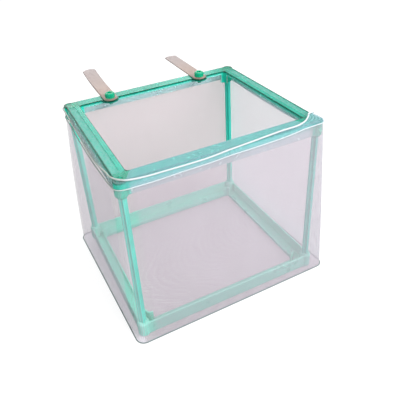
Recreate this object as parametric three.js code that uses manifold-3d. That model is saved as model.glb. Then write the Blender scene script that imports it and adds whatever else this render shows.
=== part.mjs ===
// Fish breeding box: a net bag held open by two moulded rings and four posts.
// Two strips swivel on the back rail and lie on the rim of a tank.
// Millimetres, +Z up. X runs along the front, +Y towards the back, where the strips are.
// The origin is on the surface that the box stands on, below the middle of the rings.

import * as THREE from 'three';
import { mergeVertices } from 'three/addons/utils/BufferGeometryUtils.js';
import Module from 'manifold-3d';

const wasm = await Module();
wasm.setup();

// Rings: one moulding, used upright at the top and turned over at the bottom.
const frameWidth = 165;
const frameDepth = 143;
const frameTop = 151.5;
const lowerRingLift = 3.5;
const flangeWidth = 10.5;
const flangeThickness = 1.6;
const skirtHeight = 12;
const skirtThickness = 1.5;
const lipHeight = 3.2;
const lipThickness = 1.2;
const ringCornerRadius = 4;
const openingCornerRadius = 3;
const edgeChamfer = 0.5;

// The lip is deeper for a short way on both sides of each corner of the opening.
const cornerLipHeight = 11.5;
const cornerLipLength = 4;

// A shallow channel in the top of each side rail, with round ends.
const channelWidth = 5.6;
const channelDepth = 0.4;
const channelEdgeMargin = 1.1;
const channelCornerMargin = 11;

// Corner sockets, which bulge out past the skirt, and the cross-shaped posts pressed into them.
const socketRadius = 4.8;
const socketBulge = 1.3;
const socketDepth = 13.6;
const socketTopStep = 0.4;
const socketRoof = 1.4;
const socketTaper = 1.6;
const socketTipRadius = 3.9;
const cornerDishRadius = 2.6;
const cornerDishDepth = 0.3;
const postWidth = 5.6;
const postWeb = 1.8;
const postChamfer = 0.4;
const postClearance = 0.12;

// Swivelling strips, and the split pins that hold them to ears on the back rail.
const pinSpacing = 88;
const pinInset = 11;
const earRadius = 7.3;
const hangerWidth = 12.6;
const hangerThickness = 1.2;
const hangerReach = 69.5;
const hangerEndRadius = 9;
const hangerEdgeRound = 0.3;
const hangerBowStart = 20;
const leftHangerLift = 4.3;
const rightHangerLift = 0.1;
const hangerGap = 0.15;
const pinShaftRadius = 1.9;
const pinHoleClearance = 0.15;
const pinHeadRadius = 4.3;
const pinHeadHeight = 4.2;
const pinHeadDome = 0.9;
const pinHeadHollowRadius = 2.2;
const pinHeadHollowDepth = 1;
const barbRadius = 2.6;
const barbHeight = 3.4;
const barbShoulder = 0.7;
const barbTipRadius = 1.3;
const barbGap = 0.3;
const barbSlot = 0.9;
const barbRoom = 0.8;

// Net bag: four sewn walls and a floor. It hangs from the upper ring and is wider at its foot.
const netThickness = 0.6;
const softGap = 0.3;
const bagFlareFrontLeft = { x: 1.1, y: 1.5 };
const bagFlareFrontRight = { x: 10, y: 0 };
const bagFlareBackRight = { x: 3.8, y: 0.8 };
const bagFlareBackLeft = { x: 6.5, y: 6.5 };
const floorSeamRadius = 0.6;

// Hem: a tape round the upper ring with a rolled lower edge and an elastic cord on top.
// At the front corners the cord is pulled in across the top of the ring, and the tape follows.
// Beyond the front right corner it drops off the ring again, between two turns.
const hemHeight = 7.2;
const hemThickness = 0.8;
const hemRollDepth = 0.7;
const hemRollHeight = 1.6;
const hemFold = 1;
const hemFoldRun = 2;
const elasticRadius = 0.7;
const elasticCornerRadii = { front_left: 9, front_right: 32 };
const elasticDropTurns = [1.05, 1.12];

// The hem's course round the ring. Each row is a turn, whole at a corner's middle from the front
// left corner through the front right one. Then come the heights of the hem's top edge and of
// its foot above (+) or below (-) the top of the ring, as shares of the hem's height.
const hemCourseShares = [
  [0, 0.16, -0.78],
  [0.03, 0.07, -0.86],
  [0.08, -0.1, -0.89],
  [0.13, -0.19, -0.91],
  [0.18, -0.21, -0.9],
  [0.3, -0.26, -0.83],
  [0.4, -0.24, -0.81],
  [0.5, -0.07, -0.7],
  [0.62, 0.08, -0.67],
  [0.76, 0.27, -0.59],
  [0.84, 0.26, -0.45],
  [0.9, 0.18, -0.3],
  [1.08, 0.17, -0.28],
  [1.14, 0, -1.2],
  [1.25, -1, -2.1],
  [1.4, -1.2, -2.2],
  [1.8, -1.15, -2.15],
  [2.1, -0.7, -1.7],
  [2.5, -0.65, -1.65],
  [2.9, -0.7, -1.7],
  [3.02, -0.55, -1.6],
  [3.13, -0.54, -1.6],
  [3.25, -0.83, -1.72],
  [3.4, -0.91, -1.76],
  [3.53, -1.06, -1.76],
  [3.68, -0.98, -1.6],
  [3.77, -0.66, -1.38],
  [3.85, -0.26, -1.22],
  [3.92, 0.13, -1.05],
  [3.97, 0.22, -0.84],
];

// Steps of the curves, and the overrun of every cut past the face that it opens.
const arcSteps = 4;
const roundSteps = 28;
const straightSteps = 14;
const cornerSteps = 3;
const wallSteps = 5;
const bowSteps = 9;
const cordSides = 8;
const seamSides = 6;
const cutOverrun = 1;
const weldTolerance = 1e-4;

// Places worked out from the sizes above.
const halfWidth = frameWidth / 2;
const halfDepth = frameDepth / 2;
const postInset = socketRadius - socketBulge;
const postBase = lowerRingLift + socketTopStep + socketRoof;
const postTop = frameTop - socketTopStep - socketRoof;
const pinY = halfDepth - pinInset;
const hangerSeat = frameTop + hangerGap;
const bagGap = socketBulge + softGap;
const fullTurn = 4;
const corners = [
  { name: 'front_left', x: -1, y: -1, flare: bagFlareFrontLeft },
  { name: 'front_right', x: 1, y: -1, flare: bagFlareFrontRight },
  { name: 'back_right', x: 1, y: 1, flare: bagFlareBackRight },
  { name: 'back_left', x: -1, y: 1, flare: bagFlareBackLeft },
];

// Materials, with the colours of the object.
const ringPlastic = new THREE.MeshStandardMaterial({ color: 0x4fd3b4, roughness: 0.3, metalness: 0 });
const pinPlastic = new THREE.MeshStandardMaterial({ color: 0x1fbf8a, roughness: 0.28, metalness: 0 });
const stripPlastic = new THREE.MeshStandardMaterial({ color: 0xd9cbc6, roughness: 0.5, metalness: 0 });
const netFabric = new THREE.MeshStandardMaterial({ color: 0xe2dce2, roughness: 0.85, metalness: 0 });
const hemFabric = new THREE.MeshStandardMaterial({ color: 0xf0f2f5, roughness: 0.8, metalness: 0 });

// A closed geometry as a solid that can be joined and cut.
function toSolid(geometry) {
  geometry.deleteAttribute('normal');
  geometry.deleteAttribute('uv');
  const merged = mergeVertices(geometry, weldTolerance);
  const vertProperties = Float32Array.from(merged.attributes.position.array);
  const triVerts = Uint32Array.from(merged.index.array);
  return new wasm.Manifold(new wasm.Mesh({ numProp: 3, vertProperties, triVerts }));
}

// The other way round: a solid as a named mesh.
function toMesh(name, solid, material) {
  const { vertProperties, triVerts } = solid.getMesh();
  const geometry = new THREE.BufferGeometry();
  geometry.setAttribute('position', new THREE.BufferAttribute(vertProperties, 3));
  geometry.setIndex(new THREE.BufferAttribute(triVerts, 1));
  return namedMesh(name, geometry, material);
}

function namedMesh(name, geometry, material) {
  geometry.computeVertexNormals();
  const mesh = new THREE.Mesh(geometry, material);
  mesh.name = name;
  return mesh;
}

// A flat outline raised from a level, with its end edges chamfered if asked.
function prism(shape, bottom, height, chamfer = 0) {
  const geometry = new THREE.ExtrudeGeometry(shape, {
    depth: height - 2 * chamfer,
    bevelEnabled: chamfer > 0,
    bevelThickness: chamfer,
    bevelSize: chamfer,
    bevelOffset: -chamfer,
    bevelSegments: 1,
    curveSegments: arcSteps,
  });
  geometry.translate(0, 0, bottom + chamfer);
  return toSolid(geometry);
}

function disc(radius, bottom, height) {
  const geometry = new THREE.CylinderGeometry(radius, radius, height, roundSteps);
  geometry.rotateX(Math.PI / 2);
  geometry.translate(0, 0, bottom + height / 2);
  return toSolid(geometry);
}

function block(width, depth, bottom, height) {
  const geometry = new THREE.BoxGeometry(width, depth, height);
  geometry.translate(0, 0, bottom + height / 2);
  return toSolid(geometry);
}

// A profile of radii and heights turned about the vertical axis.
function turned(profile) {
  const geometry = new THREE.LatheGeometry(profile.map(([r, z]) => new THREE.Vector2(r, z)), roundSteps);
  geometry.rotateX(Math.PI / 2);
  return toSolid(geometry);
}

function roundedRectangle(width, depth, radius) {
  const x = width / 2 - radius;
  const y = depth / 2 - radius;
  const quarter = Math.PI / 2;
  const shape = new THREE.Shape();
  shape.absarc(x, y, radius, 0, quarter);
  shape.absarc(-x, y, radius, quarter, 2 * quarter);
  shape.absarc(-x, -y, radius, 2 * quarter, 3 * quarter);
  shape.absarc(x, -y, radius, 3 * quarter, 4 * quarter);
  return shape;
}

// The space between two rounded rectangles, the inner one smaller by a wall all round.
function rectangularRing(width, depth, radius, wall, innerRadius) {
  const shape = roundedRectangle(width, depth, radius);
  shape.holes.push(roundedRectangle(width - 2 * wall, depth - 2 * wall, innerRadius));
  return shape;
}

function crossOutline(width, web) {
  const far = width / 2;
  const near = web / 2;
  const arm = [[far, -near], [far, near], [near, near], [near, far], [-near, far]];
  const rest = [[-near, near], [-far, near], [-far, -near], [-near, -near]];
  const foot = [[-near, -far], [near, -far], [near, -near]];
  return new THREE.Shape([...arm, ...rest, ...foot].map(([x, y]) => new THREE.Vector2(x, y)));
}

// One ring with its top face at z = 0. The upper one also has the ears for the pins.
function ringSolid(hasEars) {
  const openingWidth = frameWidth - 2 * flangeWidth;
  const openingDepth = frameDepth - 2 * flangeWidth;
  const opening = roundedRectangle(openingWidth, openingDepth, openingCornerRadius);
  const outer = roundedRectangle(frameWidth, frameDepth, ringCornerRadius);
  const inside = prism(
    roundedRectangle(
      frameWidth - 2 * skirtThickness,
      frameDepth - 2 * skirtThickness,
      ringCornerRadius - skirtThickness,
    ),
    -skirtHeight - cutOverrun,
    skirtHeight + cutOverrun - flangeThickness,
  );
  const cutOpening = prism(opening, -skirtHeight, skirtHeight + cutOverrun);
  let ring = prism(outer, -skirtHeight, skirtHeight, edgeChamfer).subtract(inside).subtract(cutOpening);

  const lipOutline = rectangularRing(
    openingWidth + 2 * lipThickness,
    openingDepth + 2 * lipThickness,
    openingCornerRadius + lipThickness,
    lipThickness,
    openingCornerRadius,
  );
  ring = ring.add(prism(lipOutline, -lipHeight, lipHeight - channelDepth));

  // The deeper parts of the lip are the same outline, kept only near its corners.
  const reach = cornerLipLength + lipThickness;
  const corner = block(reach, reach, -cornerLipHeight, cornerLipHeight);
  const deepLip = prism(lipOutline, -cornerLipHeight, cornerLipHeight - channelDepth);
  for (const { x, y } of corners) {
    const middleX = x * (openingWidth / 2 + lipThickness - reach / 2);
    const middleY = y * (openingDepth / 2 + lipThickness - reach / 2);
    ring = ring.add(deepLip.intersect(corner.translate([middleX, middleY, 0])));
  }

  // Sockets stand at the corners, below the flange, with a tapered foot.
  const socket = turned([
    [0, -socketDepth],
    [socketTipRadius, -socketDepth],
    [socketRadius, socketTaper - socketDepth],
    [socketRadius, -socketTopStep],
    [0, -socketTopStep],
  ]);
  const hole = prism(
    crossOutline(postWidth + 2 * postClearance, postWeb + 2 * postClearance),
    -socketDepth - cutOverrun,
    socketDepth + cutOverrun - socketTopStep - socketRoof,
  );
  const dish = disc(cornerDishRadius, -cornerDishDepth, cornerDishDepth + cutOverrun);
  for (const { x, y } of corners) {
    const place = [x * (halfWidth - postInset), y * (halfDepth - postInset), 0];
    ring = ring.add(socket.translate(place)).subtract(hole.translate(place));
    ring = ring.subtract(dish.translate(place));
  }

  // Channels in the two side rails.
  const channelLength = frameDepth - 2 * channelCornerMargin;
  const channel = prism(
    roundedRectangle(channelWidth, channelLength, channelWidth / 2),
    -channelDepth,
    channelDepth + cutOverrun,
  );
  const channelX = halfWidth - channelEdgeMargin - channelWidth / 2;
  ring = ring.subtract(channel.translate([channelX, 0, 0])).subtract(channel.translate([-channelX, 0, 0]));

  if (hasEars) {
    const holeRadius = pinShaftRadius + pinHoleClearance;
    const ear = disc(earRadius, -flangeThickness, flangeThickness);
    const room = disc(barbRadius + barbRoom, -skirtHeight, skirtHeight - flangeThickness);
    const bore = disc(holeRadius, -skirtHeight, skirtHeight + cutOverrun);
    for (const side of [-1, 1]) {
      const place = [side * pinSpacing / 2, pinY, 0];
      ring = ring.add(ear.translate(place)).subtract(room.translate(place)).subtract(bore.translate(place));
    }
  }
  return ring;
}

function postSolid() {
  return prism(crossOutline(postWidth, postWeb), 0, postTop - postBase, postChamfer);
}

// A strip about its pin: half round at the pin, a flatter round at the far end.
// Past the rail it rises along a square curve to its lift.
function hangerSolid(lift) {
  const half = hangerWidth / 2;
  const sagitta = hangerEndRadius - Math.sqrt(hangerEndRadius ** 2 - half ** 2);
  const shoulder = hangerReach - sagitta;
  const endAngle = Math.asin(half / hangerEndRadius);
  const shape = new THREE.Shape();
  shape.absarc(0, 0, half, Math.PI, 2 * Math.PI);
  for (let step = 1; step < bowSteps; step += 1) {
    shape.lineTo(half, shoulder * step / bowSteps);
  }
  const endCentre = hangerReach - hangerEndRadius;
  shape.absarc(0, endCentre, hangerEndRadius, Math.PI / 2 - endAngle, Math.PI / 2 + endAngle);
  for (let step = bowSteps - 1; step > 0; step -= 1) {
    shape.lineTo(-half, shoulder * step / bowSteps);
  }
  const flat = prism(shape, 0, hangerThickness, hangerEdgeRound);
  const bore = disc(pinShaftRadius + pinHoleClearance, -cutOverrun, hangerThickness + 2 * cutOverrun);
  const bowLength = hangerReach - hangerBowStart;
  return flat.subtract(bore).warp((point) => {
    const along = Math.max(0, point[1] - hangerBowStart) / bowLength;
    point[2] += lift * along ** 2;
  });
}

// A split pin: round head with a hollow top, shaft, and a barb that snaps below the ear.
function pinSolid() {
  const headBase = hangerThickness + 2 * hangerGap;
  const headTop = headBase + pinHeadHeight;
  const barbTop = -flangeThickness - barbGap;
  const barbFoot = barbTop - barbHeight;
  const pin = turned([
    [0, barbFoot],
    [barbTipRadius, barbFoot],
    [barbRadius, barbTop - barbShoulder],
    [barbRadius, barbTop],
    [pinShaftRadius, barbTop],
    [pinShaftRadius, headBase],
    [pinHeadRadius, headBase],
    [pinHeadRadius, headTop - pinHeadDome],
    [pinHeadRadius - pinHeadDome, headTop],
    [pinHeadHollowRadius, headTop],
    [pinHeadHollowRadius, headTop - pinHeadHollowDepth],
    [0, headTop - pinHeadHollowDepth],
  ]);
  const slot = block(barbSlot, 2 * barbRadius + cutOverrun, barbFoot - cutOverrun, barbHeight + cutOverrun);
  return pin.subtract(slot);
}

// Shares of one side of the bag's loop: its first corner's half, the straight run, the second half.
// The loop is a rounded rectangle the size of the ring, with its corners round the posts.
function sideShares(side) {
  const length = side % 2 === 0 ? frameWidth : frameDepth;
  const arc = postInset * Math.PI / 4;
  const whole = 2 * arc + length - 2 * postInset;
  return { length, whole, start: arc / whole, end: 1 - arc / whole };
}

// A point of the loop by its turn, moved outward. A turn is whole at the middle of a corner.
function loopPoint(turn, outward) {
  const side = Math.floor(turn) % fullTurn;
  const share = turn - Math.floor(turn);
  const { length, whole, start, end } = sideShares(side);
  const reach = (side % 2 === 0 ? frameDepth : frameWidth) / 2;
  const middle = length / 2 - postInset;
  let angle = 0;
  let along = whole * (share - start) - middle;
  if (share < start) {
    angle = (share / start - 1) * Math.PI / 4;
    along = -middle;
  } else if (share > end) {
    angle = (share - end) / (1 - end) * Math.PI / 4;
    along = middle;
  }
  along += (postInset + outward) * Math.sin(angle);
  const away = reach - postInset + (postInset + outward) * Math.cos(angle);
  const turnedBy = side * Math.PI / 2;
  const x = along * Math.cos(turnedBy) + away * Math.sin(turnedBy);
  const y = along * Math.sin(turnedBy) - away * Math.cos(turnedBy);
  return new THREE.Vector2(x, y);
}

// A share eased at both ends.
function ease(share) {
  return share * share * (3 - 2 * share);
}

// Turns along one side that meet the ends of its corners, from one middle to the other.
function sideTurns(side) {
  const { start, end } = sideShares(side);
  const turns = [];
  for (let step = 0; step < cornerSteps; step += 1) {
    turns.push(side + start * step / cornerSteps);
  }
  for (let step = 0; step < straightSteps; step += 1) {
    const share = step / straightSteps;
    turns.push(side + start + (end - start) * (share + ease(share)) / 2);
  }
  for (let step = 0; step <= cornerSteps; step += 1) {
    turns.push(side + end + (1 - end) * step / cornerSteps);
  }
  return turns;
}

// The same for the whole loop, without a repeat where two sides meet.
function loopTurns() {
  return corners.flatMap((corner, side) => sideTurns(side).slice(0, -1));
}

// A point at the foot of the bag. Each corner's flare is shared out over the rectangle.
function footPoint(turn, outward) {
  const point = loopPoint(turn, outward);
  const flared = point.clone();
  for (const { x, y, flare } of corners) {
    const weight = (0.5 + x * point.x / frameWidth) * (0.5 + y * point.y / frameDepth);
    flared.x += weight * x * flare.x;
    flared.y += weight * y * flare.y;
  }
  return flared;
}

// A row of the hem's course by its number, which may run past either end.
function courseRow(number) {
  const rounds = Math.floor(number / hemCourseShares.length);
  const [turn, edge, foot] = hemCourseShares[number - rounds * hemCourseShares.length];
  return { turn: turn + rounds * fullTurn, edge, foot };
}

// Height of the hem's edge or foot at a turn, on a smooth curve through the rows of its course.
function hemHeightAt(turn, part) {
  const place = turn % fullTurn;
  const next = hemCourseShares.filter(([start]) => start <= place).length;
  const [before, start, end, after] = [-2, -1, 0, 1].map((step) => courseRow(next + step));
  const run = end.turn - start.turn;
  const share = (place - start.turn) / run;
  const slopeIn = (end[part] - before[part]) / (end.turn - before.turn) * run;
  const slopeOut = (after[part] - start[part]) / (after.turn - start.turn) * run;
  const bend = share * (1 - share) * ((1 - share) * slopeIn - share * slopeOut);
  return frameTop + hemHeight * (start[part] + (end[part] - start[part]) * ease(share) + bend);
}

// How far the cord lies inside the bag's outline: it rounds a front corner on a larger radius.
function hemLap(turn) {
  const corner = corners[Math.round(turn) % fullTurn];
  const radius = elasticCornerRadii[corner.name];
  if (radius === undefined) {
    return 0;
  }
  const place = loopPoint(turn, socketBulge);
  const inward = loopPoint(turn, 0).sub(place).normalize();
  const inset = radius - socketBulge;
  const centre = new THREE.Vector2(corner.x * (halfWidth - inset), corner.y * (halfDepth - inset));
  const offset = centre.sub(place);
  if (corner.x * offset.x > 0 || corner.y * offset.y > 0) {
    return 0;
  }
  const along = offset.dot(inward);
  const lap = along - Math.sqrt(radius ** 2 - offset.lengthSq() + along ** 2);
  const [start, end] = elasticDropTurns;
  const dropped = Math.min(1, Math.max(0, (turn - start) / (end - start)));
  return Math.max(0, lap) * (corner.x > 0 ? 1 - ease(dropped) : 1);
}

// The hem at a turn: the foot of its tape, the fold, its top edge, and the lap over the ring.
function hemAt(turn) {
  const top = hemHeightAt(turn, 'edge');
  const lap = hemLap(turn);
  const folded = ease(Math.min(1, lap / hemFoldRun));
  const foot = hemHeightAt(turn, 'foot');
  return { lap, folded, foot, fold: top - hemFold, edge: top - hemFold * folded };
}

// A closed solid between an inner and an outer grid of points.
function shellGeometry(inner, outer) {
  const rows = inner.length;
  const columns = inner[0].length;
  const positions = [];
  for (const grid of [inner, outer]) {
    for (const row of grid) {
      for (const point of row) {
        positions.push(point.x, point.y, point.z);
      }
    }
  }
  const index = (layer, row, column) => (layer * rows + row) * columns + column;
  const triangles = [];
  const quad = (a, b, c, d) => triangles.push(a, b, c, a, c, d);
  for (let row = 0; row < rows - 1; row += 1) {
    for (let column = 0; column < columns - 1; column += 1) {
      const next = column + 1;
      quad(index(1, row, column), index(1, row, next), index(1, row + 1, next), index(1, row + 1, column));
      quad(index(0, row, next), index(0, row, column), index(0, row + 1, column), index(0, row + 1, next));
    }
  }
  for (let column = 0; column < columns - 1; column += 1) {
    const next = column + 1;
    const top = rows - 1;
    quad(index(0, 0, column), index(0, 0, next), index(1, 0, next), index(1, 0, column));
    quad(index(1, top, column), index(1, top, next), index(0, top, next), index(0, top, column));
  }
  for (let row = 0; row < rows - 1; row += 1) {
    const end = columns - 1;
    quad(index(0, row, 0), index(1, row, 0), index(1, row + 1, 0), index(0, row + 1, 0));
    quad(index(1, row, end), index(0, row, end), index(0, row + 1, end), index(1, row + 1, end));
  }
  const geometry = new THREE.BufferGeometry();
  geometry.setAttribute('position', new THREE.Float32BufferAttribute(positions, 3));
  geometry.setIndex(triangles);
  return geometry;
}

// A closed band: the same section, given as points round it, at each turn of a loop.
function bandGeometry(sectionAt) {
  const sections = loopTurns().map(sectionAt);
  const steps = sections.length;
  const points = sections[0].length;
  const positions = sections.flat().flatMap(({ x, y, z }) => [x, y, z]);
  const triangles = [];
  for (let step = 0; step < steps; step += 1) {
    const ahead = (step + 1) % steps;
    for (let side = 0; side < points; side += 1) {
      const next = (side + 1) % points;
      const a = step * points + side;
      const b = ahead * points + side;
      const c = ahead * points + next;
      const d = step * points + next;
      triangles.push(a, b, c, a, c, d);
    }
  }
  const geometry = new THREE.BufferGeometry();
  geometry.setAttribute('position', new THREE.Float32BufferAttribute(positions, 3));
  geometry.setIndex(triangles);
  return geometry;
}

// One wall of the bag, from corner to corner, between the floor and the hem.
function wallGeometry(side) {
  const foot = netThickness + softGap;
  const length = side % 2 === 0 ? frameWidth : frameDepth;
  const margin = softGap / length / 2;
  const turns = sideTurns(side).map((turn) => side + margin + (turn - side) * (1 - 2 * margin));
  const layers = [0, netThickness].map((outward) => {
    const grid = [];
    for (let row = 0; row <= wallSteps; row += 1) {
      const rise = row / wallSteps;
      grid.push(turns.map((turn) => {
        const above = loopPoint(turn, bagGap + outward);
        const place = footPoint(turn, bagGap + outward).lerp(above, rise);
        const top = hemAt(turn).foot - softGap;
        return new THREE.Vector3(place.x, place.y, foot + (top - foot) * rise);
      }));
    }
    return grid;
  });
  return shellGeometry(layers[0], layers[1]);
}

// The floor of the bag reaches out as far as the walls that stand on it.
function floorGeometry() {
  const outline = loopTurns().map((turn) => footPoint(turn, bagGap + netThickness));
  return new THREE.ExtrudeGeometry(new THREE.Shape(outline), { depth: netThickness, bevelEnabled: false });
}

// A round section of a cord, standing upright across a loop.
function cordSection(centre, outside, middle, radius, sides) {
  const away = outside.sub(centre).normalize();
  const section = [];
  for (let side = 0; side < sides; side += 1) {
    const angle = 2 * Math.PI * side / sides;
    const place = centre.clone().addScaledVector(away, radius * Math.cos(angle));
    section.push(new THREE.Vector3(place.x, place.y, middle + radius * Math.sin(angle)));
  }
  return section;
}

// The sewn edge where the walls meet the floor.
function floorSeamGeometry() {
  const outward = bagGap + netThickness + softGap + floorSeamRadius;
  return bandGeometry((turn) => {
    const centre = footPoint(turn, outward);
    const outside = footPoint(turn, outward + floorSeamRadius);
    return cordSection(centre, outside, floorSeamRadius, floorSeamRadius, seamSides);
  });
}

// The tape of the hem, with its rolled lower edge standing out.
function hemGeometry() {
  return bandGeometry((turn) => {
    const { lap, folded, foot, fold, edge } = hemAt(turn);
    const profile = [
      [0, foot],
      [hemThickness, foot],
      [hemThickness + hemRollDepth, foot + hemRollHeight / 2],
      [hemThickness, foot + hemRollHeight],
      [hemThickness, fold + folded * hemThickness],
      [hemThickness * (1 - folded) - lap, edge + folded * hemThickness],
      [-lap, edge],
      [0, fold],
    ];
    return profile.map(([outward, height]) => {
      const place = loopPoint(turn, bagGap + outward);
      return new THREE.Vector3(place.x, place.y, height);
    });
  });
}

// The elastic cord lies on the tape's top edge.
function elasticGeometry() {
  return bandGeometry((turn) => {
    const { lap, folded, edge } = hemAt(turn);
    const outward = bagGap - lap + elasticRadius * (1 - folded);
    const centre = loopPoint(turn, outward);
    const outside = loopPoint(turn, outward + elasticRadius);
    const middle = edge + folded * hemThickness + softGap + elasticRadius;
    return cordSection(centre, outside, middle, elasticRadius, cordSides);
  });
}

// The whole object.
const box = new THREE.Group();

const upperRing = toMesh('top_frame', ringSolid(true), ringPlastic);
upperRing.position.z = frameTop;
box.add(upperRing);

const lowerRing = toMesh('bottom_frame', ringSolid(false), ringPlastic);
lowerRing.position.z = lowerRingLift;
lowerRing.rotation.x = Math.PI;
box.add(lowerRing);

for (const { name, x, y } of corners) {
  const post = toMesh(`post_${name}`, postSolid(), ringPlastic);
  post.position.set(x * (halfWidth - postInset), y * (halfDepth - postInset), postBase);
  box.add(post);
}

for (const [name, side, lift] of [['left', -1, leftHangerLift], ['right', 1, rightHangerLift]]) {
  const hanger = toMesh(`hanger_${name}`, hangerSolid(lift), stripPlastic);
  hanger.position.set(side * pinSpacing / 2, pinY, hangerSeat);
  box.add(hanger);
  const pin = toMesh(`hanger_pin_${name}`, pinSolid(), pinPlastic);
  pin.position.set(side * pinSpacing / 2, pinY, frameTop);
  box.add(pin);
}

['net_front', 'net_right', 'net_back', 'net_left'].forEach((name, side) => {
  box.add(namedMesh(name, wallGeometry(side), netFabric));
});
box.add(namedMesh('net_floor', floorGeometry(), netFabric));
box.add(namedMesh('floor_seam', floorSeamGeometry(), hemFabric));
box.add(namedMesh('hem_tape', hemGeometry(), hemFabric));
box.add(namedMesh('elastic_cord', elasticGeometry(), hemFabric));

export default box;
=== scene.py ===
"""Fish breeding box: a net bag on two moulded rings, with strips that hang it in a tank.

The rings, posts, strips and pins are the solid model's own. The bag, its hem, its elastic cord
and its seam are made here as cloth. Lengths are millimetres until a mesh is made. Only the
studio's sizes and the sizes that the sheets were cut to are metres.
"""

from __future__ import annotations

import logging
from dataclasses import dataclass, field
from enum import Enum, IntEnum

import bpy
import numpy as np
from mathutils import Matrix, Vector


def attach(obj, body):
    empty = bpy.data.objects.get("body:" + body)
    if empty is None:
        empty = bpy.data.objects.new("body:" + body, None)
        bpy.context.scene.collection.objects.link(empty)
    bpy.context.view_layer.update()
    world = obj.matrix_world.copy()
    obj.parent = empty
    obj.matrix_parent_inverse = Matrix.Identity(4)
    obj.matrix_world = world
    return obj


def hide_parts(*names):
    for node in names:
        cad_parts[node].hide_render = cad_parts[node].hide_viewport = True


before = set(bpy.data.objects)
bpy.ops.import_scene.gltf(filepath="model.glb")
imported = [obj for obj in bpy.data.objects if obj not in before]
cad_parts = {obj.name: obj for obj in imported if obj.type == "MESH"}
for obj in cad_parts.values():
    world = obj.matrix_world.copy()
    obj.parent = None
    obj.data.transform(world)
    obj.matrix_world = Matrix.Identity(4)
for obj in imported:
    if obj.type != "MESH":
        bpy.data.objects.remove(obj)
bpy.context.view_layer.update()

LOG = logging.getLogger("breeding_box")
METRES = 0.001
CORNERS = 4
WHITE = (1.0, 1.0, 1.0, 1.0)
Colour = tuple[float, float, float, float]
Span = tuple[float, float]

# The sockets of a Mix node that mixes colours. They go by number, because others in the same
# node have the same names.
MIX_SHARE, MIX_LOW, MIX_HIGH, MIX_RESULT = 0, 6, 7, 2


class Slot(Enum):
    """Material slots of the record."""

    NET = "net_fabric"
    HEM = "hem_fabric"


class Held(Enum):
    """How a sheet of cloth is held."""

    HUNG = "hung"
    LAID = "laid"
    GATHERED = "gathered"


class HemEdge(IntEnum):
    """Columns of the hem's shares."""

    TOP = 1
    FOOT = 2


def paint(red: float, green: float, blue: float) -> Colour:
    """An opaque colour, in linear light."""
    return (red, green, blue, 1.0)


def ease(share: np.ndarray) -> np.ndarray:
    """Eases a share at both ends: three squares less two cubes."""
    return share * share * (3.0 - 2.0 * share)


@dataclass(frozen=True)
class Waves:
    """Mean of sines of several lengths, for folds that never quite repeat.

    Phases are in turns. The waves may lean: then a point's distance along the cloth grows by
    the lean times its place across the cloth.
    """

    size: float
    lengths: tuple[float, ...]
    phases: tuple[float, ...]
    lean: float = 0.0

    def height(self, along: np.ndarray, across: np.ndarray | float = 0.0) -> np.ndarray:
        """Heights of the waves.

        Args:
            along: Distances along the cloth, in millimetres.
            across: Places across the cloth, which count only where the waves lean.

        Returns:
            Heights between minus the size and the size, of the same shape as along.
        """
        place = along + self.lean * across
        total = np.zeros_like(place, dtype=float)
        for length, phase in zip(self.lengths, self.phases):
            total += np.sin(2.0 * np.pi * (place / length + phase))
        return self.size * total / len(self.lengths)


@dataclass(frozen=True)
class RoundedLoop:
    """A rounded rectangle walked by turns. A turn is whole at the middle of each corner."""

    width: float
    depth: float
    radius: float

    def frame_at(self, turn: np.ndarray) -> tuple[np.ndarray, np.ndarray]:
        """Points and outward directions at the given turns.

        Each side is half an arc, a straight run and half an arc, in even steps of length.

        Args:
            turn: Turns from 0 to 4, counted from the front left corner.

        Returns:
            Points in millimetres and unit vectors, both with a last axis of x and y.
        """
        side = np.floor(turn).astype(int) % CORNERS
        share = turn - np.floor(turn)
        length = np.where(side % 2 == 0, self.width, self.depth)
        reach = np.where(side % 2 == 0, self.depth, self.width) / 2.0
        middle = length / 2.0 - self.radius
        arc = self.radius * np.pi / 4.0
        whole = 2.0 * (arc + middle)
        start, end = arc / whole, 1.0 - arc / whole
        angle = np.minimum(0.0, share / start - 1.0) + np.maximum(0.0, (share - end) / (1.0 - end))
        angle = angle * np.pi / 4.0
        along = np.clip(whole * (share - 0.5), -middle, middle) + self.radius * np.sin(angle)
        away = reach - self.radius + self.radius * np.cos(angle)
        cos, sin = np.cos(side * np.pi / 2.0), np.sin(side * np.pi / 2.0)
        point = np.stack([along * cos + away * sin, along * sin - away * cos], axis=-1)
        out_along, out_away = np.sin(angle), np.cos(angle)
        normal = [out_along * cos + out_away * sin, out_along * sin - out_away * cos]
        return point, np.stack(normal, axis=-1)


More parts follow.
